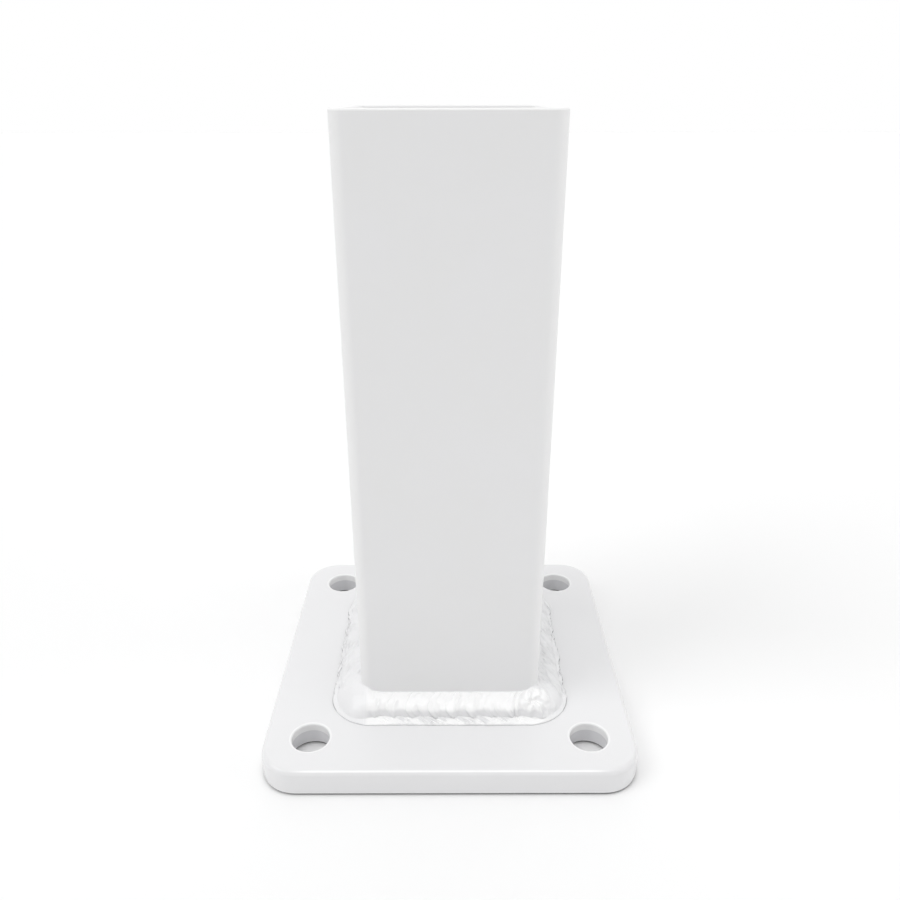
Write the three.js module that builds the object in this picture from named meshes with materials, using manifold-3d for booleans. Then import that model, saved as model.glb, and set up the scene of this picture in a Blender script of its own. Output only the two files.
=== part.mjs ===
// Base plate post: a short square tube standing on a square base plate, welded to it all round.
// Units are millimetres, +Z is up, and the origin is the centre of the plate's underside.
// The front is the side that faces -Y.

import * as THREE from 'three';
import { mergeVertices } from 'three/addons/utils/BufferGeometryUtils.js';
import Module from 'manifold-3d';

const wasm = await Module();
wasm.setup();

// Base plate: a 4 inch square of 5/16 inch plate with rounded corners
const PLATE_SIDE = 101.6;
const PLATE_THICKNESS = 7.94;
const PLATE_CORNER_RADIUS = 10.0;
const TOP_EDGE_ROUND = 1.4;
const BOTTOM_EDGE_ROUND = 0.8;

// Bolt holes: 13/32 inch for 3/8 inch bolts, on 3 inch centres, with softly rounded rims
const HOLE_SPACING = 76.2;
const HOLE_DIAMETER = 10.3;
const HOLE_RIM_ROUND = 0.9;

// Post: 2 inch square tube with a 1/8 inch wall, cut square and open at the top
const TUBE_SIDE = 50.8;
const TUBE_WALL = 3.175;
const TUBE_CORNER_RADIUS = 3.2;
const TUBE_INNER_RADIUS = 1.0;
const TUBE_LENGTH = 157.1;
const CUT_EDGE_BREAK = 0.4;

// Weld: one fillet bead all round, with a rounded crown and a thin toe that runs out on the plate
const WELD_LEG = 8.8;
const WELD_HEIGHT = 4.9;
const CROWN_WIDTH = 5.8;
const TOE_HEIGHT = 0.8;
const RIPPLE_PITCH = 5.5;
const RIPPLE_DEPTH = 0.35;

// How finely round forms are stepped
const CORNER_STEPS = 6;
const EDGE_STEPS = 3;
const HOLE_STEPS = 32;
const CROWN_STEPS = 5;
const STATIONS_PER_RIPPLE = 4;

const plateTop = PLATE_THICKNESS;
const QUARTER_TURN = Math.PI / 2;

// A square outline with rounded corners, counter-clockwise: each point with its outward direction
function roundedSquare(side, radius) {
  const outline = [];
  const arcCentre = side / 2 - radius;
  for (let corner = 0; corner < 4; corner += 1) {
    const diagonal = corner * QUARTER_TURN + QUARTER_TURN / 2;
    const centre = new THREE.Vector2(
      arcCentre * Math.sign(Math.cos(diagonal)),
      arcCentre * Math.sign(Math.sin(diagonal)),
    );
    for (let step = 0; step <= CORNER_STEPS; step += 1) {
      const angle = (corner + step / CORNER_STEPS) * QUARTER_TURN;
      const outward = new THREE.Vector2(Math.cos(angle), Math.sin(angle));
      outline.push({ at: centre.clone().addScaledVector(outward, radius), outward });
    }
  }
  return outline;
}

// One level loop of points: the outline of a rounded square at the height z
function levelLoop(side, radius, z) {
  return roundedSquare(side, radius).map(({ at }) => new THREE.Vector3(at.x, at.y, z));
}

// Joins loops of equally many points into one closed surface, by a ring round the hole or by end caps
function loft(loops, isRing) {
  const count = loops[0].length;
  const points = loops.flat();
  const faces = [];
  const bands = isRing ? loops.length : loops.length - 1;
  for (let band = 0; band < bands; band += 1) {
    const low = band * count;
    const high = ((band + 1) % loops.length) * count;
    for (let i = 0; i < count; i += 1) {
      const next = (i + 1) % count;
      faces.push(low + i, low + next, high + next, low + i, high + next, high + i);
    }
  }
  if (!isRing) {
    const top = (loops.length - 1) * count;
    for (let i = 1; i < count - 1; i += 1) {
      faces.push(0, i + 1, i, top, top + i, top + i + 1);
    }
  }
  const geometry = new THREE.BufferGeometry().setFromPoints(points);
  geometry.setIndex(faces);
  geometry.computeVertexNormals();
  return geometry;
}

// A closed mesh as a solid that can be cut, with its shared vertices merged
function toSolid(geometry) {
  const bare = geometry.clone();
  bare.deleteAttribute('normal');
  bare.deleteAttribute('uv');
  const merged = mergeVertices(bare, 1e-4);
  return new wasm.Manifold(new wasm.Mesh({
    numProp: 3,
    vertProperties: new Float32Array(merged.attributes.position.array),
    triVerts: new Uint32Array(merged.index.array),
  }));
}

function toGeometry(solid) {
  const mesh = solid.getMesh();
  const geometry = new THREE.BufferGeometry();
  geometry.setAttribute('position', new THREE.BufferAttribute(mesh.vertProperties, 3));
  geometry.setIndex(new THREE.BufferAttribute(mesh.triVerts, 1));
  geometry.computeVertexNormals();
  return geometry;
}

// The plate without holes: level outlines that draw in along the rounded bottom and top edges
function plateBlank() {
  const loops = [];
  const addEdge = (round, z, isTop) => {
    for (let step = 0; step <= EDGE_STEPS; step += 1) {
      const angle = (step / EDGE_STEPS) * QUARTER_TURN;
      const inset = round * (1 - (isTop ? Math.cos(angle) : Math.sin(angle)));
      const height = isTop ? z - round + round * Math.sin(angle) : z + round - round * Math.cos(angle);
      loops.push(levelLoop(PLATE_SIDE - 2 * inset, PLATE_CORNER_RADIUS - inset, height));
    }
  };
  addEdge(BOTTOM_EDGE_ROUND, 0, false);
  addEdge(TOP_EDGE_ROUND, plateTop, true);
  return loft(loops, false);
}

// The solid that cuts one bolt hole: a cylinder that flares along the rounded rims at both faces
function holeCutter() {
  const bore = HOLE_DIAMETER / 2;
  const pastFace = HOLE_DIAMETER;
  const profile = [new THREE.Vector2(0, -pastFace)];
  profile.push(new THREE.Vector2(bore + BOTTOM_EDGE_ROUND, -pastFace));
  for (let step = 0; step <= EDGE_STEPS; step += 1) {
    const angle = (step / EDGE_STEPS) * QUARTER_TURN;
    profile.push(new THREE.Vector2(
      bore + BOTTOM_EDGE_ROUND * (1 - Math.sin(angle)),
      BOTTOM_EDGE_ROUND * (1 - Math.cos(angle)),
    ));
  }
  for (let step = 0; step <= EDGE_STEPS; step += 1) {
    const angle = (step / EDGE_STEPS) * QUARTER_TURN;
    profile.push(new THREE.Vector2(
      bore + HOLE_RIM_ROUND * (1 - Math.cos(angle)),
      plateTop - HOLE_RIM_ROUND * (1 - Math.sin(angle)),
    ));
  }
  profile.push(new THREE.Vector2(bore + HOLE_RIM_ROUND, plateTop + pastFace));
  profile.push(new THREE.Vector2(0, plateTop + pastFace));
  return new THREE.LatheGeometry(profile, HOLE_STEPS).rotateX(QUARTER_TURN);
}

function basePlate() {
  let plate = toSolid(plateBlank());
  const cutter = toSolid(holeCutter());
  for (const x of [-HOLE_SPACING / 2, HOLE_SPACING / 2]) {
    for (const y of [-HOLE_SPACING / 2, HOLE_SPACING / 2]) {
      plate = plate.subtract(cutter.translate([x, y, 0]));
    }
  }
  return toGeometry(plate);
}

// The tube: outer wall up, over the cut end with its broken edges, and down the inner wall
function squareTube() {
  const tubeTop = plateTop + TUBE_LENGTH;
  const shoulder = tubeTop - CUT_EDGE_BREAK;
  const boreSide = TUBE_SIDE - 2 * TUBE_WALL;
  return loft([
    levelLoop(TUBE_SIDE, TUBE_CORNER_RADIUS, plateTop),
    levelLoop(TUBE_SIDE, TUBE_CORNER_RADIUS, shoulder),
    levelLoop(TUBE_SIDE - 2 * CUT_EDGE_BREAK, TUBE_CORNER_RADIUS - CUT_EDGE_BREAK, tubeTop),
    levelLoop(boreSide + 2 * CUT_EDGE_BREAK, TUBE_INNER_RADIUS + CUT_EDGE_BREAK, tubeTop),
    levelLoop(boreSide, TUBE_INNER_RADIUS, shoulder),
    levelLoop(boreSide, TUBE_INNER_RADIUS, plateTop),
  ], true);
}

// Places round the foot of the tube where the bead's section is set: the corner points, and
// between corners a few places for each ripple. Each knows how far along the bead it is.
function weldStations() {
  const corners = roundedSquare(TUBE_SIDE, TUBE_CORNER_RADIUS);
  const flat = TUBE_SIDE - 2 * TUBE_CORNER_RADIUS;
  const flatSteps = Math.ceil(flat / RIPPLE_PITCH) * STATIONS_PER_RIPPLE;
  const crownTurn = (TUBE_CORNER_RADIUS + CROWN_WIDTH / 2) * (QUARTER_TURN / CORNER_STEPS);
  const stations = [];
  let along = 0;
  corners.forEach((place, i) => {
    stations.push({ ...place, along });
    const isCornerEnd = i % (CORNER_STEPS + 1) === CORNER_STEPS;
    if (!isCornerEnd) {
      along += crownTurn;
      return;
    }
    const next = corners[(i + 1) % corners.length];
    for (let step = 1; step < flatSteps; step += 1) {
      const share = step / flatSteps;
      stations.push({
        at: place.at.clone().lerp(next.at, share),
        outward: place.outward,
        along: along + share * flat,
      });
    }
    along += flat;
  });
  return { stations, around: along };
}

// The bead's rounded crown between the tube and the crease, as distance out and height
function crownPoint(share, ripple) {
  const angle = share * QUARTER_TURN;
  const out = CROWN_WIDTH * Math.sin(angle);
  const up = TOE_HEIGHT + (WELD_HEIGHT - TOE_HEIGHT) * Math.cos(angle);
  const swell = ripple * Math.sin(share * Math.PI);
  return { out: out + swell * Math.sin(angle), up: up + swell * Math.cos(angle) };
}

// The weld: its section is swept round the tube, and slanted ripples rise and fall along it
function weldBead() {
  const { stations, around } = weldStations();
  const rippleCount = Math.round(around / RIPPLE_PITCH);
  const loops = [];
  const addLoop = (sectionPoint) => {
    loops.push(stations.map(({ at, outward, along }) => {
      const { out, up } = sectionPoint(along);
      return new THREE.Vector3(at.x + outward.x * out, at.y + outward.y * out, plateTop + up);
    }));
  };
  addLoop(() => ({ out: 0, up: 0 }));
  addLoop(() => ({ out: WELD_LEG, up: 0 }));
  for (let step = CROWN_STEPS; step >= 0; step -= 1) {
    const share = step / CROWN_STEPS;
    addLoop((along) => {
      const turns = (along / around) * rippleCount - share / 2;
      return crownPoint(share, RIPPLE_DEPTH * Math.sin(2 * Math.PI * turns));
    });
  }
  return loft(loops, true);
}

// White powder coat over every piece
const powderCoat = (name) => new THREE.MeshStandardMaterial({
  name,
  color: 0xebebec,
  roughness: 0.42,
  metalness: 0,
});

function piece(name, geometry) {
  const mesh = new THREE.Mesh(geometry, powderCoat(name));
  mesh.name = name;
  return mesh;
}

const post = new THREE.Group();
post.add(piece('base_plate', basePlate()));
post.add(piece('square_tube', squareTube()));
post.add(piece('weld_bead', weldBead()));

export default post;
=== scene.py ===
# %% [markdown]
# # A white post on a welded base plate
#
# The object is a short square tube that is welded all round to a square plate with four bolt
# holes. A shop cuts the tube and the plate, rounds the plate's edges, lays a weld bead round the
# foot, and then coats the whole thing with white powder that is baked to a smooth satin skin.
#
# The model there is exact but faceted, so each of its three solids gets a finer visible piece
# that stands in the same place. Everything is in metres.

import math
import random

import bmesh
import bpy
from mathutils import Matrix, Vector, noise


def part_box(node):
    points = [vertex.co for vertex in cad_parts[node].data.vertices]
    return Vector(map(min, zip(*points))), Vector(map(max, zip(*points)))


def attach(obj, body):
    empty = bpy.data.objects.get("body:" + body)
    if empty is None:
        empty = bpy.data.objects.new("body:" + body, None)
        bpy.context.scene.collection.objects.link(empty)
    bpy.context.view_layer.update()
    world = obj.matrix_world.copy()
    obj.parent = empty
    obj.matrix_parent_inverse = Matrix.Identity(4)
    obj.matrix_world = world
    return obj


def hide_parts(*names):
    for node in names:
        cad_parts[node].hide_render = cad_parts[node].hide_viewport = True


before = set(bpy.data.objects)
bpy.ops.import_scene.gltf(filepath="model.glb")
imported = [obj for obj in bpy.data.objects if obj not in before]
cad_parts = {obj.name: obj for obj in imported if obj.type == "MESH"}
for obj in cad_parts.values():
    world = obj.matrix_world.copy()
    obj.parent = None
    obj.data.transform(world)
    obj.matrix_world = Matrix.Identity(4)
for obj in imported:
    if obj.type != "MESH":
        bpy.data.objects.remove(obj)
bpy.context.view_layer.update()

# %% [markdown]
# ## Sizes
#
# The outer sizes are read from the frame's boxes, so they can't drift from the solids. Radii and
# the small sizes that a box doesn't show are named here in millimetres and turned to metres once.

# %% Sizes read from the frame
MM = 0.001

plate_low, plate_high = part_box("base_plate")
tube_low, tube_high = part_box("square_tube")
weld_low, weld_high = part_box("weld_bead")

PLATE_SIDE = plate_high.x - plate_low.x
PLATE_TOP = plate_high.z
TUBE_SIDE = tube_high.x - tube_low.x
TUBE_TOP = tube_high.z
WELD_LEG = (weld_high.x - weld_low.x - TUBE_SIDE) / 2
print("plate side", round(PLATE_SIDE, 4), "tube side", round(TUBE_SIDE, 4), "weld leg", round(WELD_LEG, 4))

# %% Sizes named one by one
PLATE_CORNER_RADIUS = 10.0 * MM
TOP_EDGE_ROUND = 1.4 * MM
BOTTOM_EDGE_ROUND = 0.8 * MM
HOLE_SPACING = 76.2 * MM
HOLE_RADIUS = 5.15 * MM
HOLE_RIM_ROUND = 0.35 * MM
HOLE_RING_RADIUS = 5.80 * MM
HOLE_RING_DROP = 0.10 * MM
HOLE_FLARE = 0.9 * MM
UPPER_WALL_DEPTH = 2.4 * MM
TUBE_CORNER_RADIUS = 3.2 * MM
TUBE_WALL = 3.175 * MM
TUBE_INNER_RADIUS = 1.0 * MM
OUTER_EDGE_BREAK, INNER_EDGE_BREAK = 0.45 * MM, 0.75 * MM

# %% [markdown]
# ## Working in edit mode from a script
#
# Blender's operators act on whatever is selected, so each step starts from nothing selected and
# then picks edges by where they are. Two small helpers do that picking: one takes a test on an
# edge's two ends and the angle between its faces, the other tidies up a new primitive.

# %% Helpers for selecting and for primitives
def deselect_all():
    if bpy.context.object and bpy.context.object.mode != "OBJECT":
        bpy.ops.object.mode_set(mode="OBJECT")
    bpy.ops.object.select_all(action="DESELECT")


def name_primitive(name):
    """Names the primitive just added and writes its place into its mesh."""
    piece = bpy.context.object
    piece.name = piece.data.name = name
    bpy.ops.object.transform_apply(location=True, rotation=True, scale=True)
    return piece


def make_active(piece):
    deselect_all()
    piece.select_set(True)
    bpy.context.view_layer.objects.active = piece


def bevel_edges(piece, is_wanted, width, segments):
    """Rounds the edges that is_wanted(end, end, fold) picks; fold is the angle between faces."""
    make_active(piece)
    bpy.ops.object.mode_set(mode="EDIT")
    bpy.ops.mesh.select_mode(type="EDGE")
    bpy.ops.mesh.select_all(action="DESELECT")
    shape = bmesh.from_edit_mesh(piece.data)
    for edge in shape.edges:
        first, second = (vert.co for vert in edge.verts)
        edge.select_set(is_wanted(first, second, edge.calc_face_angle(0.0)))
    picked = sum(edge.select for edge in shape.edges)
    bmesh.update_edit_mesh(piece.data)
    bpy.ops.mesh.bevel(offset=width, segments=segments, affect="EDGES", clamp_overlap=False)
    bpy.ops.object.mode_set(mode="OBJECT")
    print(piece.name, "rounded", picked, "edges to", round(width / MM, 2), "mm")


def is_at(value, target):
    return abs(value - target) < 0.01 * MM


def is_upright(first, second, fold):
    return is_at(first.x, second.x) and is_at(first.y, second.y) and not is_at(first.z, second.z)


def sharp_rim_at(height):
    """A test for the sharp edges that lie in the level plane at that height."""
    def is_rim(first, second, fold):
        level = is_at(first.z, height) and is_at(second.z, height)
        return level and fold > math.radians(50)
    return is_rim


def score_across(piece, axis, offset):
    """Adds a line of edges all round the piece where a plane square to the axis meets it."""
    make_active(piece)
    bpy.ops.object.mode_set(mode="EDIT")
    bpy.ops.mesh.select_all(action="SELECT")
    along = {"X": Vector((1, 0, 0)), "Y": Vector((0, 1, 0))}[axis]
    bpy.ops.mesh.bisect(plane_co=along * offset, plane_no=along)
    bpy.ops.object.mode_set(mode="OBJECT")


def cut_away(piece, cutter):
    """Subtracts the cutter from the piece, and throws the cutter away."""
    make_active(piece)
    cut = piece.modifiers.new("cut", "BOOLEAN")
    cut.operation = "DIFFERENCE"
    cut.solver = "EXACT"
    cut.object = cutter
    bpy.ops.object.modifier_apply(modifier=cut.name)
    bpy.data.objects.remove(cutter, do_unlink=True)


def shade_flats_and_rounds(piece):
    """Smooth shading that keeps the big flat faces flat, because the largest faces win."""
    make_active(piece)
    bpy.ops.object.shade_smooth_by_angle(angle=math.radians(40))
    weighted = piece.modifiers.new("flat faces win", "WEIGHTED_NORMAL")
    weighted.weight = 100
    weighted.keep_sharp = True
    bpy.ops.object.modifier_apply(modifier=weighted.name)
    print(piece.name, "has", len(piece.data.polygons), "faces")


# %% [markdown]
# ## The base plate
#
# A plate like this is sawn or laser cut, its four corners are rounded, and its edges are tumbled
# or ground soft so that the powder holds on them. It could be an extruded outline, but a block
# that is shaped the way the shop does it is easier to follow: round the upright corners, then
# soften the top and bottom rims in one go each.

# %% Saw the plate and round its corners and rims
deselect_all()
bpy.ops.mesh.primitive_cube_add(
    size=1, location=(0, 0, PLATE_TOP / 2), scale=(PLATE_SIDE, PLATE_SIDE, PLATE_TOP))
plate = name_primitive("plate")
bevel_edges(plate, is_upright, PLATE_CORNER_RADIUS, segments=16)
bevel_edges(plate, sharp_rim_at(PLATE_TOP), TOP_EDGE_ROUND, segments=6)
bevel_edges(plate, sharp_rim_at(0.0), BOTTOM_EDGE_ROUND, segments=5)

# %% [markdown]
# The holes come last. A bevel on a drilled plate is hard to get clean, so the drill itself has the shape
# of the finished hole: it is turned like a part on a lathe, with a flare for the soft lower rim, a shank
# that widens a little downwards, a small round under the top, and a very flat cone that shapes the ring
# round each hole. Before drilling, the block is scored through the hole centres, so that no face has a
# whole hole inside it.

# %% A lathe for round cutters
ARC_STEP = 18


def turn_on_lathe(name, x, y, profile, sides):
    """A round solid about an upright axis: a disc that is drawn up and resized ring by ring."""
    deselect_all()
    radius, height = profile[0]
    bpy.ops.mesh.primitive_circle_add(
        vertices=sides, radius=radius, fill_type="NGON", location=(x, y, height))
    solid = name_primitive(name)
    bpy.ops.object.mode_set(mode="EDIT")
    bpy.ops.mesh.select_mode(type="FACE")
    bpy.ops.mesh.select_all(action="SELECT")
    for next_radius, next_height in profile[1:]:
        bpy.ops.mesh.extrude_region_move(
            TRANSFORM_OT_translate={"value": (0, 0, next_height - height)})
        growth = next_radius / radius
        bpy.ops.transform.resize(value=(growth, growth, 1), center_override=(x, y, 0))
        radius, height = next_radius, next_height
    bpy.ops.mesh.select_all(action="SELECT")
    bpy.ops.mesh.normals_make_consistent(inside=False)
    bpy.ops.object.mode_set(mode="OBJECT")
    return solid


def hole_profile():
    """Radius and height of each ring of the drill, from below the plate to above it. The upper
    round stops one step short of level, where the flat cone takes over."""
    below, above = -PLATE_TOP, 2 * PLATE_TOP
    foot_radius = HOLE_RADIUS + HOLE_FLARE
    rings = [(foot_radius + BOTTOM_EDGE_ROUND, below)]
    for step in range(6):
        angle = math.radians(ARC_STEP * step)
        rings.append((
            foot_radius + BOTTOM_EDGE_ROUND * (1 - math.sin(angle)),
            BOTTOM_EDGE_ROUND * (1 - math.cos(angle))))
    rings.append((HOLE_RADIUS, PLATE_TOP - UPPER_WALL_DEPTH))
    rim_height = PLATE_TOP - HOLE_RING_DROP
    for step in range(5):
        angle = math.radians(ARC_STEP * step)
        rings.append((
            HOLE_RADIUS + HOLE_RIM_ROUND * (1 - math.cos(angle)),
            rim_height - HOLE_RIM_ROUND * (1 - math.sin(angle))))
    return rings + [(HOLE_RING_RADIUS, PLATE_TOP), (HOLE_RING_RADIUS, above)]


# %% Drill the bolt holes
for offset in (-HOLE_SPACING / 2, HOLE_SPACING / 2):
    score_across(plate, "X", offset)
    score_across(plate, "Y", offset)
for x in (-HOLE_SPACING / 2, HOLE_SPACING / 2):
    for y in (-HOLE_SPACING / 2, HOLE_SPACING / 2):
        cut_away(plate, turn_on_lathe("drill", x, y, hole_profile(), sides=72))
shade_flats_and_rounds(plate)

# %% [markdown]
# ## The square tube
#
# The post is drawn or extruded square tube, so its corners are round on a small radius and its
# wall has the same thickness everywhere. It is sawn square, and the saw burr is brushed off, which
# leaves a tiny rounding on both edges of the rim. The open top shows the true wall thickness.

# %% Outer block, bored out by an inner block
tube_height = TUBE_TOP - PLATE_TOP
tube_middle = PLATE_TOP + tube_height / 2
deselect_all()
bpy.ops.mesh.primitive_cube_add(
    size=1, location=(0, 0, tube_middle), scale=(TUBE_SIDE, TUBE_SIDE, tube_height))
tube = name_primitive("tube")
bevel_edges(tube, is_upright, TUBE_CORNER_RADIUS, segments=10)
score_across(tube, "X", 0)
score_across(tube, "Y", 0)

deselect_all()
bore_side = TUBE_SIDE - 2 * TUBE_WALL
bpy.ops.mesh.primitive_cube_add(
    size=1, location=(0, 0, tube_middle), scale=(bore_side, bore_side, 2 * tube_height))
bore = name_primitive("bore")
bevel_edges(bore, is_upright, TUBE_INNER_RADIUS, segments=6)
cut_away(tube, bore)

# %% Brush the sawn rim
def inner_rim(first, second, fold):
    inside = all(max(abs(end.x), abs(end.y)) < TUBE_SIDE / 2 - TUBE_WALL / 2 for end in (first, second))
    return inside and sharp_rim_at(TUBE_TOP)(first, second, fold)


bevel_edges(tube, inner_rim, INNER_EDGE_BREAK, segments=6)
bevel_edges(tube, sharp_rim_at(TUBE_TOP), OUTER_EDGE_BREAK, segments=5)
shade_flats_and_rounds(tube)

# %% [markdown]
# ## The weld bead
#
# This is the piece that tells the eye the post is real. A welder lays a fillet bead round the
# foot: the metal puddle is pushed along in small steps, and each step freezes with a curved back
# edge that overlaps the one before, like fish scales. Here the front bead is round and proud, with
# a rough shelf of spatter-soft metal below it, while the beads along the sides are flatter. Where
# runs start and stop at the corners there are smooth masses, a stop mark and a crater.
#
# The bead could be a bevelled curve, but then every ripple would be the same. Instead a flat grid
# is laid out like a strip of dough: its length is the way round the foot, and its width is the
# bead's section from the tube's wall down to the toe. One function says how high the metal
# stands at each place of the strip, and the strip is then wrapped round the tube.

# %% How the bead runs round the foot
FLAT = TUBE_SIDE - 2 * TUBE_CORNER_RADIUS
MIDDLE_RADIUS = TUBE_CORNER_RADIUS + WELD_LEG / 2
TURN = math.pi / 2 * MIDDLE_RADIUS
SIDE_RUN = FLAT + TURN
WAY_ROUND = 4 * SIDE_RUN
STRIP_STEP = 0.2 * MM
STRIP_COLUMNS = round(WAY_ROUND / STRIP_STEP)
STRIP_ROWS = 66
print("the bead is", round(WAY_ROUND / MM, 1), "mm long, in", STRIP_COLUMNS, "columns")


def foot_place(along):
    """The point at the tube's foot and the outward direction, that far round. It starts in the
    middle of the back and goes left side, front, right side, back."""
    shifted = (along + FLAT / 2) % WAY_ROUND
    side, on_side = divmod(shifted, SIDE_RUN)
    turned = Matrix.Rotation(math.radians(90) * side, 3, "Z")
    if on_side <= FLAT:
        place, outward = Vector((FLAT / 2 - on_side, TUBE_SIDE / 2, 0)), Vector((0, 1, 0))
    else:
        angle = (on_side - FLAT) / MIDDLE_RADIUS
        outward = Vector((-math.sin(angle), math.cos(angle), 0))
        place = Vector((-FLAT / 2, FLAT / 2, 0)) + TUBE_CORNER_RADIUS * outward
    return turned @ place, turned @ outward


# %% Blends between the stretches of the bead
FRONT_MIDDLE = 2 * SIDE_RUN
LEFT_CORNER = 1.5 * SIDE_RUN


def smooth_step(low, high, value):
    share = min(1.0, max(0.0, (value - low) / (high - low)))
    return share * share * (3 - 2 * share)


def window(along, middle, half, fade):
    """1 within half of the middle, fading to 0 over the fade beyond it."""
    return 1 - smooth_step(half, half + fade, abs(along - middle))


def mix(first, second, share):
    return first + (second - first) * share


def frontness(along):
    return window(along, FRONT_MIDDLE, 21.5 * MM, 4 * MM)


def cornerness(along):
    to_corner = abs((along % SIDE_RUN) - SIDE_RUN / 2)
    return 1 - smooth_step(4 * MM, 9 * MM, to_corner)


# %% [markdown]
# ### The even section
#
# Seen from the side, the bead leaves the tube's wall in a tiny hollow where the coat has flowed together,
# bulges out over the crown, falls to a crease, and runs out over a thin shelf that ends in a small step
# with an undercut. The last step, with painted shade laid on it, gives the fine grey line round the toe.

# %% The bead's section
FRONT_CROWN, SIDE_CROWN = 5.9 * MM, 7.3 * MM
CREASE = 0.75 * MM
FRONT_HEIGHT, SIDE_HEIGHT, CORNER_EXTRA = 4.5 * MM, 5.1 * MM, 1.0 * MM
HOLLOW, SINK = 0.6 * MM, 0.15 * MM
TOE_LIP, TOE_ROUND = 0.42 * MM, 0.20 * MM
HOLLOW_PART, CROWN_PART, SHELF_PART = 0.08, 0.62, 0.92
FRONT_STRAIGHTNESS, SIDE_STRAIGHTNESS = 0.05, 0.62
SHELF_TILT = math.radians(12)
UNDERCUT_TURN = math.radians(115)


def hollow_point(share, height):
    angle = share * math.pi / 2
    return HOLLOW * (1 - math.cos(angle)), height + HOLLOW * (1 - math.sin(angle)), angle


def crown_point(share, height, crown, straightness):
    """Between a quarter ellipse, at straightness 0, and a straight slope, at 1."""
    angle = share * math.pi / 2
    out = HOLLOW + (crown - HOLLOW) * mix(math.sin(angle), share, straightness)
    up = CREASE + (height - CREASE) * mix(math.cos(angle), 1 - share, straightness)
    steepness = mix(math.tan(min(angle, 1.45)), 1.0, straightness)
    return out, up, math.atan(steepness * (height - CREASE) / crown)


def toe_point(share, leg):
    angle = share * UNDERCUT_TURN
    drop = (math.cos(angle) - math.cos(UNDERCUT_TURN)) / (1 - math.cos(UNDERCUT_TURN))
    return leg + TOE_ROUND * math.sin(angle), TOE_LIP * drop, SHELF_TILT + angle


def section_point(across, along, leg, scallop):
    """Distance out and height of the even bead, and how far its face tips from level, at across
    from 0 at the tube to 1 at the plate. The scallop pushes the crease out over the shelf."""
    front = frontness(along)
    crown = mix(SIDE_CROWN, FRONT_CROWN, front) + scallop
    height = mix(SIDE_HEIGHT, FRONT_HEIGHT, front) + CORNER_EXTRA * cornerness(along)
    if across <= HOLLOW_PART:
        out, up, tilt = hollow_point(across / HOLLOW_PART, height)
        return out, up, math.pi / 2 - tilt
    if across <= CROWN_PART:
        share = (across - HOLLOW_PART) / (CROWN_PART - HOLLOW_PART)
        return crown_point(share, height, crown, mix(SIDE_STRAIGHTNESS, FRONT_STRAIGHTNESS, front))
    if across <= SHELF_PART:
        share = (across - CROWN_PART) / (SHELF_PART - CROWN_PART)
        return crown + (leg - crown) * share, mix(CREASE, TOE_LIP, share), SHELF_TILT
    return toe_point((across - SHELF_PART) / (1 - SHELF_PART), leg)


# %% [markdown]
# ### Ripples
#
# Each frozen step of the puddle starts with a small step up and then runs down to the next. On
# the front the back edge is a crescent: it leans forward near the tube, is furthest back low on
# the crown, and sweeps forward again over the shelf. On the sides the ripples come and go, and
# are drawn out into long slanting strokes. Steps aren't evenly spaced, so their places come from
# a seeded random generator, which gives the same bead on every run.

# %% Where the ripples start
RIPPLE_PITCH = 5.6 * MM
RIPPLE_STEP = 0.42 * MM
RIPPLE_STEP_SHARE = 0.07
FRONT_LEAN, SIDE_LEAN = 2.6 * MM, 15 * MM
FOOT_SWEEP, SHELF_SWEEP = 2.2 * MM, 4.2 * MM
BACKMOST_PART = 0.36


def ripple_places(seed, pitch, spread):
    """Start of each ripple along the whole bead, with its strength."""
    chance = random.Random(seed)
    places = []
    along = -6 * pitch
    while along < WAY_ROUND + 6 * pitch:
        places.append((along, chance.uniform(0.55, 1.15)))
        along += pitch * chance.uniform(1 - spread, 1 + spread)
    return places


main_ripples = ripple_places(11, RIPPLE_PITCH, 0.22)
fine_ripples = ripple_places(29, RIPPLE_PITCH / 2.7, 0.45)
print(len(main_ripples), "main ripples and", len(fine_ripples), "fine ones")


def ripple_height(places, place, step_share=RIPPLE_STEP_SHARE):
    """Height from 0 to 1: a quick step up at each start, then a slow run down."""
    low, high = 0, len(places) - 1
    while high - low > 1:
        middle = (low + high) // 2
        if places[middle][0] <= place:
            low = middle
        else:
            high = middle
    start, strength = places[low]
    share = (place - start) / (places[high][0] - start)
    return strength * smooth_step(0, step_share, share) * (1 - share) ** 0.8


def crescent(across, front):
    """How far a ripple's back edge leans along the bead, at that place of the section."""
    up_wall = max(0.0, 1 - across / BACKMOST_PART)
    down_foot = min(1.0, max(0.0, (across - BACKMOST_PART) / (CROWN_PART - BACKMOST_PART)))
    over_shelf = max(0.0, (across - CROWN_PART) / (1 - CROWN_PART))
    front_lean = FRONT_LEAN * up_wall ** 1.3 + FOOT_SWEEP * down_foot ** 2 + SHELF_SWEEP * over_shelf
    return mix(SIDE_LEAN * (1 - across), front_lean, front)


# %% Marks that a welder leaves at starts and stops
CRATER_X, CRATER_Y, PIT_RADIUS = 23.2, -28.9, 0.8
CRATER = Vector((CRATER_X * MM, CRATER_Y * MM, 0))
CRATER_REACH = 2.3 * MM
CREASES = 5
STOP_CENTRE = Vector((24.2 * MM, -30.0 * MM, 0))
STOP_RADIUS = 5.6 * MM
STOP_EDGE = 0.45 * MM


def lump(point, x, y, radius):
    """A round hill of height 1. Its place and radius are in millimetres."""
    gap = Vector((point.x - x * MM, point.y - y * MM)).length / (radius * MM)
    return math.exp(-gap * gap)


def stop_edge(point):
    """The round back edge of the last puddle: a ridge with a groove outside it."""
    from_stop = point - STOP_CENTRE
    gap = (from_stop.length - STOP_RADIUS) / STOP_EDGE
    to_the_left = 1 - smooth_step(-2 * MM, 0.5 * MM, from_stop.x)
    ridge = 0.55 * math.exp(-(gap + 0.8) ** 2)
    groove = 0.45 * math.exp(-(gap - 0.8) ** 2)
    return to_the_left * (ridge - groove)


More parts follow.
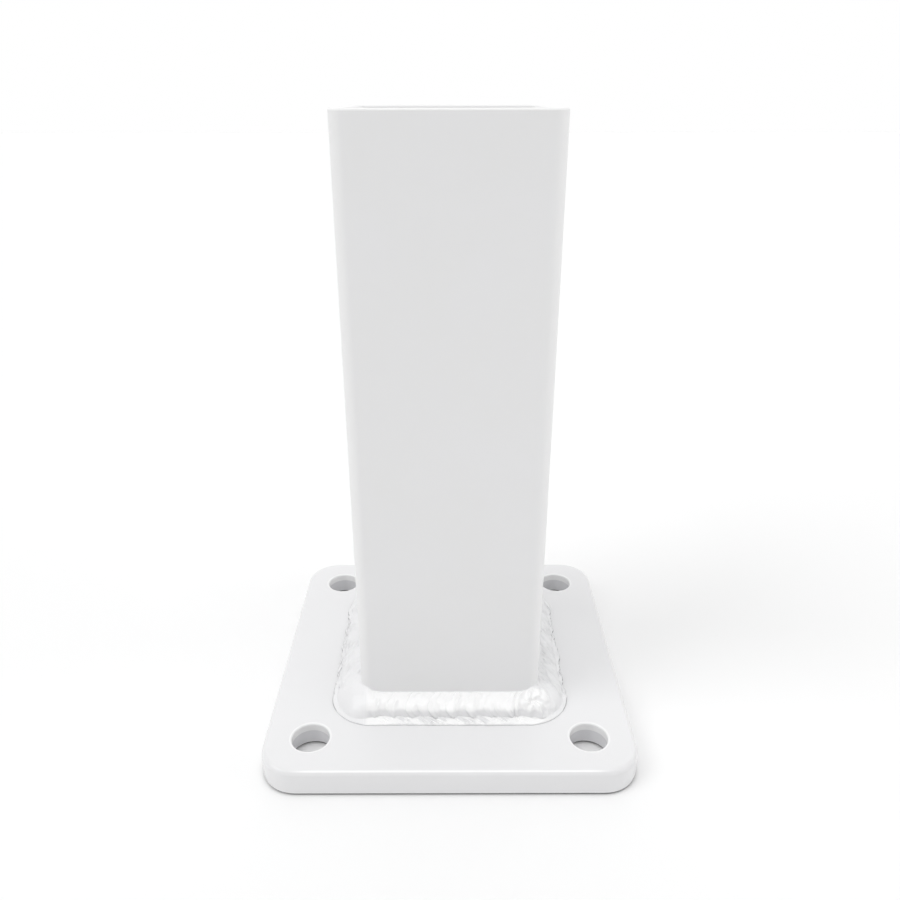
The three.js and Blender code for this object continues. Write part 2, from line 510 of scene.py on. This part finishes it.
def crater(point):
    """A small pit with creases that run out from it like a star."""
    from_crater = point - CRATER
    reach = from_crater.length / CRATER_REACH
    turn = math.atan2(from_crater.y, from_crater.x)
    star = 0.75 * math.cos(CREASES * turn + 0.8 + 2 * reach) * reach * math.exp(-reach * reach)
    return star - 1.4 * lump(point, CRATER_X, CRATER_Y, PIT_RADIUS)


def marks(point):
    """Stop edge, crater and the lumps round it on the front right, in metres."""
    near = lump(point, 25.6, -29.0, 4.2)
    uneven = 0.45 * noise.noise(point / (1.5 * MM)) + 0.25 * noise.noise(point / (0.8 * MM))
    height = stop_edge(point) + crater(point) + near * uneven
    height += 0.40 * lump(point, 26.6, -28.0, 1.4)
    height += 0.45 * lump(point, 26.4, -32.3, 1.4)
    height -= 0.35 * lump(point, 23.8, -32.2, 1.2)
    height += 0.30 * lump(point, 30.2, -25.5, 1.6)
    height -= 0.25 * lump(point, 29.2, -30.0, 1.2)
    return height * MM


# %% Wander of the toe
TOE_INSET = 0.35


def toe_leg(foot, along):
    """The toe wanders in and out: calm at the front, wavy along the sides. Its middle line lies
    0.35 mm inside the solid's toe, and here and there it reaches a little past it."""
    sway = 0.60 * noise.noise(foot / (8 * MM)) + 0.35 * noise.noise(foot / (3.1 * MM))
    notch = 0.30 * noise.noise(foot / (1.2 * MM))
    wander = (sway + notch) * mix(1.0, 0.45, frontness(along)) - TOE_INSET
    return WELD_LEG + wander * MM - TOE_ROUND


# %% Height of the metal above the even section
SCALLOP, SCALLOP_STEP_SHARE = 0.9 * MM, 0.35
CALM_CORNER, CALM_SEAM = 4 * MM, 5 * MM
SIDE_RIPPLES, WEAK_FRONT_RIPPLES, STRONG_FRONT_RIPPLES = 1.30, 0.6, 1.2
FINE_AT_WALL, FINE_ON_CROWN, FINE_ON_SIDES = 1.2, 0.7, 0.7

# Strokes, swell and grain are heights in millimetres
SIDE_STROKES, FRONT_STROKES, FRONT_SHELF_STROKES = 1.00, 0.22, 0.50
SIDE_SWELL, FRONT_SWELL, GRAIN = 0.50, 0.34, 0.05


def ripple_place(across, along):
    """Where on the row of ripples a place lies, once its lean along the bead is taken off. The
    left half of the bead was laid the other way round."""
    lean = crescent(across, frontness(along))
    return WAY_ROUND - along - lean if along < LEFT_CORNER else along - lean


def ripple_strength(along):
    """Ripples are calm in the corners, and gone where two runs of the bead meet."""
    left_calm = window(along, LEFT_CORNER, CALM_CORNER, CALM_CORNER)
    seam_calm = window(along, 0, 0, CALM_SEAM) + window(along, WAY_ROUND, 0, CALM_SEAM)
    return (1 - 0.5 * cornerness(along)) * (1 - left_calm) * (1 - seam_calm)


def patchiness(point, size):
    """Between 0 and 1, so that ripple edges come and go as they do on a hand-laid bead."""
    return smooth_step(-0.15, 0.35, noise.noise(point / size + Vector((7.3, 1.9, 4.4))))


def strokes(across, along, place):
    """Thin ridges that follow the ripples' back edges, from noise that is drawn out along them."""
    long = noise.noise(Vector((place / (0.85 * MM), 5 * across, along / (9 * MM))))
    short = noise.noise(Vector((place / (0.45 * MM), 8 * across, along / (5 * MM))))
    return 0.6 * long + 0.4 * short


def metal_height(across, along, point):
    """From coarse to fine: ripples, finer ones between them, strokes along their edges, a swell
    with a little grain, and the marks of the stop. The shelf of the side beads stays even."""
    front = frontness(along)
    place = ripple_place(across, along)
    on_shelf = smooth_step(CROWN_PART - 0.02, CROWN_PART + 0.06, across)

    side_step = SIDE_RIPPLES * patchiness(point, 3.2 * MM)
    front_step = mix(WEAK_FRONT_RIPPLES, STRONG_FRONT_RIPPLES, patchiness(point, 4.5 * MM))
    height = RIPPLE_STEP * mix(side_step, front_step, front) * ripple_height(main_ripples, place)

    fine = mix(FINE_AT_WALL, FINE_ON_CROWN, smooth_step(0.15, 0.40, across))
    fine *= mix(FINE_ON_SIDES, 1.0, front)
    fine *= patchiness(point, 2.6 * MM)
    height += RIPPLE_STEP * fine * ripple_height(fine_ripples, place)

    stroke = mix(mix(SIDE_STROKES, FRONT_STROKES, front), FRONT_SHELF_STROKES * front, on_shelf)
    height += stroke * MM * patchiness(point, 3.4 * MM) * strokes(across, along, place)

    swell = mix(SIDE_SWELL, FRONT_SWELL, front) * (1 - 0.6 * cornerness(along))
    swell *= noise.noise(point / (4.2 * MM))
    grain = GRAIN * noise.noise(point / (1.1 * MM))
    uneven = (1 - on_shelf * (1 - front)) * (swell + grain) * MM

    fade = smooth_step(0.02, HOLLOW_PART, across) * (1 - smooth_step(SHELF_PART - 0.02, 0.98, across))
    return fade * (ripple_strength(along) * height + uneven + (1 - 0.8 * on_shelf) * marks(point))


def bead_offset(across, along):
    """The foot point, the way out, and how far out and up the bead's surface is."""
    foot, outward = foot_place(along)
    push = SCALLOP * ripple_strength(along) * frontness(along)
    at_crease = ripple_place(CROWN_PART, along)
    scallop = push * (0.3 - ripple_height(main_ripples, at_crease, SCALLOP_STEP_SHARE))
    out, up, tilt = section_point(across, along, toe_leg(foot, along), scallop)
    rise = metal_height(across, along, foot + outward * out)
    out += rise * math.sin(tilt) - SINK * (1 - smooth_step(0, 0.04, across))
    return foot, outward, out, up + rise * math.cos(tilt)


# %% Wrap the strip round the foot
deselect_all()
bpy.ops.mesh.primitive_grid_add(
    x_subdivisions=STRIP_COLUMNS, y_subdivisions=STRIP_ROWS, size=1, location=(0, 0, 0))
weld = name_primitive("weld")
for vert in weld.data.vertices:
    foot, outward, out, up = bead_offset(vert.co.y + 0.5, (vert.co.x + 0.5) * WAY_ROUND)
    vert.co = foot + outward * out + Vector((0, 0, PLATE_TOP + up))
print("wrapped", len(weld.data.vertices), "points")

# %% [markdown]
# The strip's two ends meet at the back and are merged there. It is still a skin that is open
# along the tube and along the toe, so the inner edge is extruded down to the plate, and a bridge
# between the two open edges closes the underside. That makes it a solid bead.

# %% Close the bead to a solid
make_active(weld)
bpy.ops.object.mode_set(mode="EDIT")
bpy.ops.mesh.select_mode(type="EDGE")
bpy.ops.mesh.select_all(action="SELECT")
bpy.ops.mesh.remove_doubles(threshold=0.001 * MM)

inner_reach = TUBE_SIDE / 2 + 0.5 * MM
bpy.ops.mesh.select_all(action="DESELECT")
shape = bmesh.from_edit_mesh(weld.data)
for edge in shape.edges:
    inside = all(max(abs(vert.co.x), abs(vert.co.y)) < inner_reach for vert in edge.verts)
    edge.select_set(edge.is_boundary and inside)
bmesh.update_edit_mesh(weld.data)
bpy.ops.mesh.extrude_edges_move()
shape = bmesh.from_edit_mesh(weld.data)
for vert in shape.verts:
    if vert.select:
        vert.co.z = PLATE_TOP
bmesh.update_edit_mesh(weld.data)

bpy.ops.mesh.select_all(action="DESELECT")
shape = bmesh.from_edit_mesh(weld.data)
for edge in shape.edges:
    edge.select_set(edge.is_boundary)
print("open edges to bridge:", sum(edge.select for edge in shape.edges))
bmesh.update_edit_mesh(weld.data)
bpy.ops.mesh.bridge_edge_loops()
bpy.ops.mesh.select_all(action="SELECT")
bpy.ops.mesh.normals_make_consistent(inside=False)
bpy.ops.object.mode_set(mode="OBJECT")
bpy.ops.object.shade_smooth_by_angle(angle=math.radians(60))
print("weld has", len(weld.data.polygons), "faces")

# %% [markdown]
# ## The finish: white powder coat
#
# Powder coat is a plastic skin, about a tenth of a millimetre thick, that is sprayed on dry and
# baked until it flows. It isn't metallic, even on metal: it is a white plastic with a soft gloss.
# Close up it has a faint "orange peel", low waves a millimetre or two across, and over a weld it
# pools a little and shines more. So the shader is a plain dielectric with a small noise bump, and
# a second, broader noise that varies the gloss a little. The plate's roughness stays at 0.27 or
# less: where a broad gloss crosses that value, removing the render's noise leaves a hard edge.

# %% Colours and nodes
def linear(hex_colour):
    """Turns an sRGB hex colour into the linear values that shaders use."""
    values = [int(hex_colour[i:i + 2], 16) / 255 for i in (1, 3, 5)]
    return [v / 12.92 if v <= 0.04045 else ((v + 0.055) / 1.055) ** 2.4 for v in values] + [1.0]


def add_node(tree, kind, settings=None, inputs=None):
    """Adds a node; an input is a value, or a pair of a node and its output's name."""
    node = tree.nodes.new(kind)
    for key, value in (settings or {}).items():
        setattr(node, key, value)
    for key, value in (inputs or {}).items():
        if isinstance(value, tuple) and isinstance(value[0], bpy.types.Node):
            tree.links.new(value[0].outputs[value[1]], node.inputs[key])
        else:
            node.inputs[key].default_value = value
    return node


# %% The powder coat material
def powder_coat(name, light, shade, gloss, peel_depth):
    """White powder coat between two close whites; gloss is its roughness range."""
    material = bpy.data.materials.new(name)
    material.use_nodes = True
    tree = material.node_tree
    tree.nodes.clear()
    where = add_node(tree, "ShaderNodeTexCoord")
    broad = add_node(tree, "ShaderNodeTexNoise", inputs={
        "Vector": (where, "Object"), "Scale": 1 / (26 * MM), "Detail": 3.0})
    colour = add_node(tree, "ShaderNodeValToRGB", inputs={"Fac": (broad, "Fac")})
    colour.color_ramp.elements[0].position = 0.3
    colour.color_ramp.elements[0].color = linear(shade)
    colour.color_ramp.elements[1].position = 0.7
    colour.color_ramp.elements[1].color = linear(light)
    sheen = add_node(tree, "ShaderNodeMapRange", inputs={
        "Value": (broad, "Fac"), "To Min": gloss[0], "To Max": gloss[1]})
    peel = add_node(tree, "ShaderNodeTexNoise", inputs={
        "Vector": (where, "Object"), "Scale": 1 / (1.6 * MM), "Detail": 1.5})
    bump = add_node(tree, "ShaderNodeBump", inputs={
        "Height": (peel, "Fac"), "Distance": peel_depth, "Strength": 1.0})
    coat = add_node(tree, "ShaderNodeBsdfPrincipled", inputs={
        "Base Color": (colour, "Color"), "Roughness": (sheen, "Result"),
        "Normal": (bump, "Normal"), "IOR": 1.5, "Metallic": 0.0})
    coat.name = "coat"
    add_node(tree, "ShaderNodeOutputMaterial", inputs={"Surface": (coat, "BSDF")})
    return material


plate_coat = powder_coat("white powder coat on plate", "#ECECED", "#EBEBEC", (0.20, 0.27), 0.006 * MM)
tube_coat = powder_coat("white powder coat on tube", "#EEEEEF", "#EDEDED", (0.40, 0.48), 0.008 * MM)
weld_coat = powder_coat("white powder coat over weld", "#F2F2F3", "#EEEEEF", (0.28, 0.36), 0.010 * MM)
print("made", len(bpy.data.materials), "materials")

# %% [markdown]
# Powder is drawn to edges and shies away from deep holes. So the coat builds up to a whiter ring
# Round each bolt hole the colour is whiter in a ring, partly from powder built up on the edge and partly
# as a painted highlight. Inside the hole the upper 2.4 millimetres of the wall are painted lighter, as
# painted light, and the wall below is painted grey, as painted shade. All of this follows from two
# numbers: the distance from the nearest hole's axis, and the height. As the plate is even about both its
# middles, the absolute values of X and Y serve all four holes at once.
# The photograph also shows a dark line along the plate's foot. It is most likely the shadow in the
# crevice under the rounded lower edge. Here the lowest 0.6 millimetres of the plate are laid dark,
# which keeps the line there in any light.

# %% Helpers for laying one colour over another
def layer_colour(tree, hex_colour, amount):
    """Lays a colour over the coat's colour so far where the amount, a (node, output) pair, is 1."""
    base = tree.nodes["coat"].inputs["Base Color"]
    layer = add_node(tree, "ShaderNodeMix", {"data_type": "RGBA"})
    tree.links.new(amount[0].outputs[amount[1]], layer.inputs[0])
    tree.links.new(base.links[0].from_socket, layer.inputs[6])
    layer.inputs[7].default_value = linear(hex_colour)
    tree.links.new(layer.outputs[2], base)


def ramp(tree, value, start, end):
    """From 0 at start to 1 at end, smoothly; start may be the larger."""
    return add_node(tree, "ShaderNodeMapRange", {"interpolation_type": "SMOOTHSTEP"}, {
        "Value": value, "From Min": start, "From Max": end}), "Result"


def all_of(tree, first, *others):
    """The product of amounts, which is 1 only where each of them is."""
    product = first
    for other in others:
        node = add_node(tree, "ShaderNodeMath", {"operation": "MULTIPLY"}, {0: product, 1: other})
        product = node, "Value"
    return product


def object_place(tree):
    """The place on the piece with X and Y folded to the positive side, the parts of that folded
    place, and the parts of the plain one."""
    where = add_node(tree, "ShaderNodeTexCoord")
    folded = add_node(tree, "ShaderNodeVectorMath", {"operation": "ABSOLUTE"}, {0: (where, "Object")})
    sides = add_node(tree, "ShaderNodeSeparateXYZ", inputs={"Vector": (folded, "Vector")})
    place = add_node(tree, "ShaderNodeSeparateXYZ", inputs={"Vector": (where, "Object")})
    return folded, sides, place


# %% Painted highlight, light and shade round the holes, and the painted shadow at the foot
tree = plate_coat.node_tree
folded, sides, place = object_place(tree)
from_axis = add_node(tree, "ShaderNodeVectorMath", {"operation": "SUBTRACT"}, {
    0: (folded, "Vector"), 1: (HOLE_SPACING / 2, HOLE_SPACING / 2, 0)})
level_gap = add_node(tree, "ShaderNodeVectorMath", {"operation": "MULTIPLY"}, {
    0: (from_axis, "Vector"), 1: (1, 1, 0)})
length = add_node(tree, "ShaderNodeVectorMath", {"operation": "LENGTH"}, {0: (level_gap, "Vector")})
gap = (length, "Value")

ring_inner = ramp(tree, gap, HOLE_RADIUS + 0.1 * MM, HOLE_RADIUS + 0.3 * MM)
ring_outer = ramp(tree, gap, HOLE_RING_RADIUS + 0.1 * MM, HOLE_RING_RADIUS - 0.25 * MM)
wall = ramp(tree, gap, HOLE_RADIUS + 0.15 * MM, HOLE_RADIUS + 0.05 * MM)
in_hole = ramp(tree, gap, HOLE_RADIUS + 2.0 * MM, HOLE_RADIUS + 1.8 * MM)
upper_wall_z = PLATE_TOP - UPPER_WALL_DEPTH
deep_z, shallow_z = upper_wall_z - 0.15 * MM, upper_wall_z + 0.15 * MM
deep = ramp(tree, (place, "Z"), shallow_z, deep_z)
shallow = ramp(tree, (place, "Z"), deep_z, shallow_z)
dark_foot = ramp(tree, (place, "Z"), 0.70 * MM, 0.55 * MM)

# A whiter ring round each hole: partly powder built up on the edge, partly a painted highlight.
layer_colour(tree, "#F8F8F8", all_of(tree, ring_inner, ring_outer))
# Painted light on the upper wall of each hole.
layer_colour(tree, "#FCFCFC", all_of(tree, wall, shallow))
# Painted shade on the lower wall of each hole.
layer_colour(tree, "#E6E6E8", all_of(tree, in_hole, deep))
layer_colour(tree, "#242426", dark_foot)
print("plate coat has", len(tree.nodes), "nodes")

# %% [markdown]
# In the photograph a thin white line runs where the plate's front edge rounds over. It is most
# likely a reflection of the studio, but here it is laid on as colour, and fades out before the
# corners.

# %% White line along the plate's front edge
plate_face = PLATE_SIDE / 2
line_top = ramp(tree, (place, "Y"), -plate_face + 0.95 * MM, -plate_face + 0.80 * MM)
line_foot = ramp(tree, (place, "Y"), -plate_face + 0.40 * MM, -plate_face + 0.55 * MM)
within_corners = ramp(tree, (sides, "X"), plate_face - 8 * MM, plate_face - 14 * MM)
upper_half = ramp(tree, (place, "Z"), PLATE_TOP / 2, PLATE_TOP / 2 + MM)
layer_colour(tree, "#FFFFFF", all_of(tree, line_top, line_foot, within_corners, upper_half))

# %% [markdown]
# The tube's four corners and its sawn rim are a little whiter, as a painted highlight, and just under the
# rim the inside of the bore is whiter too, as painted light.

# %% Painted highlights on the tube's corners and rim, painted light inside its top
tree = tube_coat.node_tree
folded, sides, place = object_place(tree)
tube_face = TUBE_SIDE / 2
corner_from, corner_to = tube_face - 3.4 * MM, tube_face - 1.4 * MM
corner_x = ramp(tree, (sides, "X"), corner_from, corner_to)
corner_y = ramp(tree, (sides, "Y"), corner_from, corner_to)
# Painted highlight on the four rounded corners.
layer_colour(tree, "#F2F2F2", all_of(tree, corner_x, corner_y))

on_rim = ramp(tree, (place, "Z"), TUBE_TOP - 0.6 * MM, TUBE_TOP - 0.35 * MM)
near_top = ramp(tree, (place, "Z"), TUBE_TOP - 2.0 * MM, TUBE_TOP - 1.5 * MM)
within_x = ramp(tree, (sides, "X"), tube_face - 1.2 * MM, tube_face - 1.6 * MM)
within_y = ramp(tree, (sides, "Y"), tube_face - 1.2 * MM, tube_face - 1.6 * MM)
# Painted highlight on the sawn rim.
layer_colour(tree, "#FCFCFC", on_rim)
# Painted light on the bore's inner wall just under the rim.
layer_colour(tree, "#FCFCFC", all_of(tree, near_top, within_x, within_y))
print("tube coat has", len(tree.nodes), "nodes")

# %% [markdown]
# On the front bead the coat has pooled and is glossier than on the flatter side beads and the corners. It
# is whiter there too, partly from the pooled coat and partly as a painted highlight, except on its steep
# foot, which is painted greyer as painted shade. Round the toe, at the tiny step down to the plate, a thin
# grey line of painted shade is laid, and it is darker along the side beads.

# %% Pooled coat and painted highlight on the front bead, painted shade on its steep foot
tree = weld_coat.node_tree
folded, sides, place = object_place(tree)
in_front = ramp(tree, (place, "Y"), -tube_face, -tube_face - 0.3 * MM)
right_of_start = ramp(tree, (place, "X"), -24.5 * MM, -22.5 * MM)
left_of_stop = ramp(tree, (place, "X"), 30.0 * MM, 26.0 * MM)
front_bead = all_of(tree, in_front, right_of_start, left_of_stop)
# Partly the pooled coat's own white, partly a painted highlight.
layer_colour(tree, "#FDFDFD", front_bead)

above_crease = ramp(tree, (place, "Z"), PLATE_TOP + 0.80 * MM, PLATE_TOP + 1.05 * MM)
below_crown = ramp(tree, (place, "Z"), PLATE_TOP + 3.1 * MM, PLATE_TOP + 2.2 * MM)
# Painted shade on the steep foot of the front bead.
layer_colour(tree, "#EAEAEB", all_of(tree, front_bead, above_crease, below_crown))

# %% Painted shade line round the toe
toe = ramp(tree, (place, "Z"), PLATE_TOP + 0.24 * MM, PLATE_TOP + 0.12 * MM)
# Painted shade in the crevice round the toe.
layer_colour(tree, "#D4D4D6", toe)

side_toe = ramp(tree, (place, "Z"), PLATE_TOP + 0.41 * MM, PLATE_TOP + 0.38 * MM)
on_side = ramp(tree, (sides, "X"), tube_face + 6.6 * MM, tube_face + 7.0 * MM)
behind_front = ramp(tree, (place, "Y"), -tube_face - 6 * MM, -tube_face + 2 * MM)
before_back = ramp(tree, (place, "Y"), tube_face + 6 * MM, tube_face - 2 * MM)
# Painted shadow along the side beads' toes, darker than at the front.
layer_colour(tree, "#8C8C8E", all_of(tree, side_toe, on_side, behind_front, before_back))

# %% Gloss of the pooled coat
POOLED_ROUGHNESS = 0.10

coat = tree.nodes["coat"]
shine = add_node(tree, "ShaderNodeMix", {"data_type": "FLOAT"})
tree.links.new(front_bead[0].outputs[front_bead[1]], shine.inputs[0])
tree.links.new(coat.inputs["Roughness"].links[0].from_socket, shine.inputs[2])
shine.inputs[3].default_value = POOLED_ROUGHNESS
tree.links.new(shine.outputs[0], coat.inputs["Roughness"])
print("weld coat has", len(tree.nodes), "nodes")

# %% Put the pieces on the frame
for piece, node, slot, coat in (
    (plate, "base_plate", "plate_coat", plate_coat),
    (tube, "square_tube", "tube_coat", tube_coat),
    (weld, "weld_bead", "weld_coat", weld_coat),
):
    piece.data.materials.clear()
    piece.data.materials.append(coat)
    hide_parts(node)
    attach(piece, "root")
    print(piece.name, "stands for", node)

# %% [markdown]
# ## Floor, light and camera
#
# The photograph is a high-key studio shot: floor and background are lit until they are almost pure
# white, and the only shadow is a thin soft one where the plate meets the floor. A pale floor and a
# bright even sky give that, and a big soft box overhead puts the bright streaks on the weld.

# %% Floor
deselect_all()
bpy.ops.mesh.primitive_plane_add(size=8, location=(0, 0, 0))
floor = name_primitive("floor")
floor_paint = bpy.data.materials.new("pale floor paint")
floor_paint.use_nodes = True
floor_shader = floor_paint.node_tree.nodes["Principled BSDF"]
floor_shader.inputs["Base Color"].default_value = linear("#FAFAFA")
floor_shader.inputs["Roughness"].default_value = 0.9
floor_shader.inputs["Specular IOR Level"].default_value = 0.1
floor.data.materials.append(floor_paint)

# %% [markdown]
# The white backdrop behind the post is bright, a big soft box hangs overhead, and smaller ones
# stand behind the post and on each side. The plate's top is bright because it faces the boxes, the
# faces towards the camera are a soft grey because the room behind the camera is dimmer, and a thin
# shadow lies on the floor in front of the plate, where the plate hides the backdrop. The direction
# of a sky point is its Generated coordinate.

# %% Sky: brighter at the back, and plain white to the camera
ROOM, BACKDROP = 0.433, 0.55

world = bpy.data.worlds.new("studio")
bpy.context.scene.world = world
world.use_nodes = True
sky = world.node_tree
sky.nodes.clear()
where_to = add_node(sky, "ShaderNodeTexCoord")
to_back = add_node(sky, "ShaderNodeVectorMath", {"operation": "DOT_PRODUCT"}, {
    0: (where_to, "Generated"), 1: (0, BACKDROP, 0)})
behind = add_node(sky, "ShaderNodeMath", {"operation": "MAXIMUM"}, {0: (to_back, "Value"), 1: 0.0})
level = add_node(sky, "ShaderNodeMath", {"operation": "ADD"}, {0: (behind, "Value"), 1: ROOM})
light = add_node(sky, "ShaderNodeBackground", inputs={
    "Color": (1, 1, 1, 1), "Strength": (level, "Value")})
seen = add_node(sky, "ShaderNodeBackground", inputs={"Color": (1, 1, 1, 1), "Strength": 1.0})
path = add_node(sky, "ShaderNodeLightPath")
either = add_node(sky, "ShaderNodeMixShader", inputs={
    0: (path, "Is Camera Ray"), 1: (light, "Background"), 2: (seen, "Background")})
add_node(sky, "ShaderNodeOutputWorld", inputs={"Surface": (either, "Shader")})


# %% Soft lights from far away
def far_light(name, turn, height, spread, brightness):
    """A distant round light. Turn is its angle from the front to the right and height its angle
    above the floor, both in degrees. Brightness is what it adds to a white card that faces it."""
    deselect_all()
    bpy.ops.object.light_add(type="SUN")
    sun = bpy.context.object
    sun.name = name
    sun.data.angle = math.radians(spread)
    sun.data.energy = brightness * math.pi
    sun.rotation_euler = (math.radians(90 - height), 0, math.radians(turn))


far_light("top soft box", turn=0, height=76, spread=50, brightness=0.26)
far_light("back soft box", turn=180, height=50, spread=60, brightness=0.04)
far_light("left soft box", turn=-70, height=45, spread=34, brightness=0.24)
far_light("right soft box", turn=70, height=45, spread=40, brightness=0.03)
far_light("low right light", turn=80, height=15, spread=40, brightness=0.13)

# %% [markdown]
# The camera was fitted to the outlines in the photograph. Its angles are in degrees, and its focal
# length and the row of its axis are in pixels of a picture that is 900 pixels wide and high.

# %% Camera
CAMERA_PITCH = 24.92
CAMERA_YAW = -0.055
CAMERA_ROLL = -0.0655
CAMERA_AWAY = 204.73 * MM
CAMERA_ABOVE_PLATE = 159.67 * MM
FRAME_PIXELS = 900
FOCAL_PIXELS = 797.5
AXIS_ROW = 464.5

deselect_all()
bpy.ops.object.camera_add()
camera = bpy.context.object
camera.data.sensor_width = 36
camera.data.lens = FOCAL_PIXELS / FRAME_PIXELS * camera.data.sensor_width
camera.data.shift_y = (AXIS_ROW - FRAME_PIXELS / 2) / FRAME_PIXELS
camera.data.clip_start = 1 * MM
camera.matrix_world = (
    Matrix.Translation((0, -CAMERA_AWAY, PLATE_TOP + CAMERA_ABOVE_PLATE))
    @ Matrix.Rotation(math.radians(CAMERA_YAW), 4, "Z")
    @ Matrix.Rotation(math.radians(90 - CAMERA_PITCH), 4, "X")
    @ Matrix.Rotation(math.radians(CAMERA_ROLL), 4, "Z"))
bpy.context.scene.camera = camera
bpy.context.scene.view_settings.view_transform = "Standard"
print("lens", round(camera.data.lens, 2), "mm")
